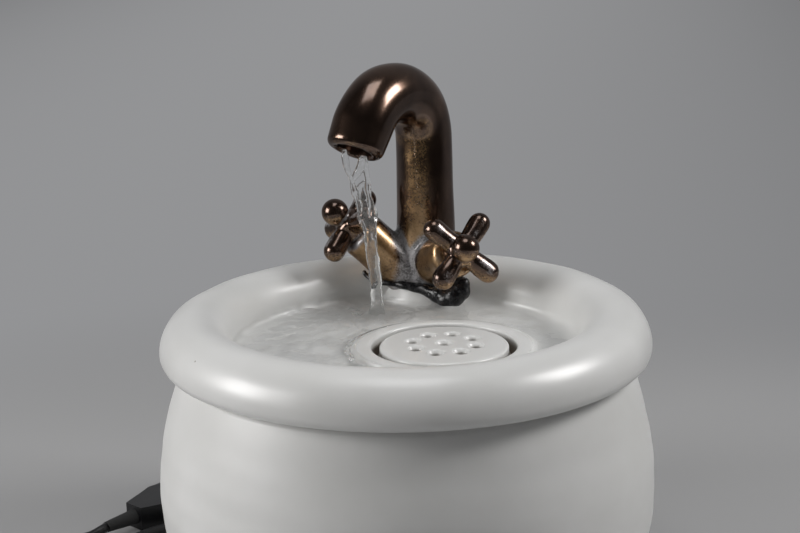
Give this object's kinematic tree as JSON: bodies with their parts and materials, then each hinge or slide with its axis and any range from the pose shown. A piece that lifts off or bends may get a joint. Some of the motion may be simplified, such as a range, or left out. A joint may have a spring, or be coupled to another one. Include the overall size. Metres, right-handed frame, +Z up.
{
  "type": "pet water fountain",
  "caption": "Glazed ceramic pot with a lift-off rimmed dish, a bronze-glazed tap that pours into it, a round strainer, a submersible pump and a mains lead.",
  "frame": {"origin": "on the pot's axis, at the bottom of its foot ring", "axes": "+Z up; +Y towards the tap's column, at the rear; +X to the right of someone facing the spout's side; the pump's shaft runs along X"},
  "size_m": [0.3567, 0.2618, 0.264],
  "materials": {
    "white_glaze": "satin white glaze",
    "bronze_glaze": "glossy metallic bronze glaze",
    "sealant": "glossy black sealant",
    "clear_tube": "clear hose",
    "black_plastic": "satin black moulding",
    "grey_plastic": "satin dark grey moulding",
    "white_plastic": "white moulding",
    "magnet": "ferrite",
    "ceramic_shaft": "polished",
    "black_rubber": "matt rubber",
    "cord_black": "satin flexible jacket",
    "pin_metal": "nickel plated"
  },
  "bodies": {
    "pot": {"pot": "white_glaze", "pump_housing": "black_plastic", "volute_cover": "grey_plastic", "outlet_nozzle": "black_plastic", "rotor_shaft": "ceramic_shaft", "front_bush": "black_rubber", "rear_bush": "black_rubber", "suction_cups": "black_rubber", "cord_gland": "black_rubber", "pump_lead": "cord_black", "mains_cord": "cord_black", "cord_coil": "cord_black", "cord_tie": "black_plastic", "plug_cord": "cord_black", "plug_relief": "black_rubber", "plug_body": "black_plastic", "plug_pins": "pin_metal"},
    "dish": {"dish": "white_glaze", "tap": "bronze_glaze", "left_cross_handle": "bronze_glaze", "left_handle_ball": "bronze_glaze", "right_cross_handle": "bronze_glaze", "right_handle_ball": "bronze_glaze", "sealant_bead": "sealant", "supply_tube": "clear_tube", "tube_grommet": "black_rubber"},
    "strainer": {"drain_strainer": "white_glaze"},
    "rotor": {"rotor_magnet": "magnet", "impeller": "white_plastic"},
    "intake_cover": {"intake_cover": "black_plastic"},
    "flow_dial": {"flow_dial": "grey_plastic"}
  },
  "joints": [
    {"name": "dish_lift", "type": "slide", "parent": "pot", "child": "dish", "axis": [0, 0, 1], "range_m": [0, 0.1]},
    {"name": "strainer_lift", "type": "slide", "parent": "dish", "child": "strainer", "axis": [0, 0, 1], "range_m": [0, 0.03]},
    {"name": "impeller_spin", "type": "hinge", "parent": "pot", "child": "rotor", "pos_m": [0, 0.084, 0.032], "axis": [1, 0, 0], "continuous": true},
    {"name": "intake_cover_pull", "type": "slide", "parent": "pot", "child": "intake_cover", "axis": [1, 0, 0], "range_m": [0, 0.015]},
    {"name": "flow_dial_turn", "type": "hinge", "parent": "intake_cover", "child": "flow_dial", "pos_m": [0.025, 0.084, 0.032], "axis": [1, 0, 0], "range_deg": [0, 30]}
  ]
}
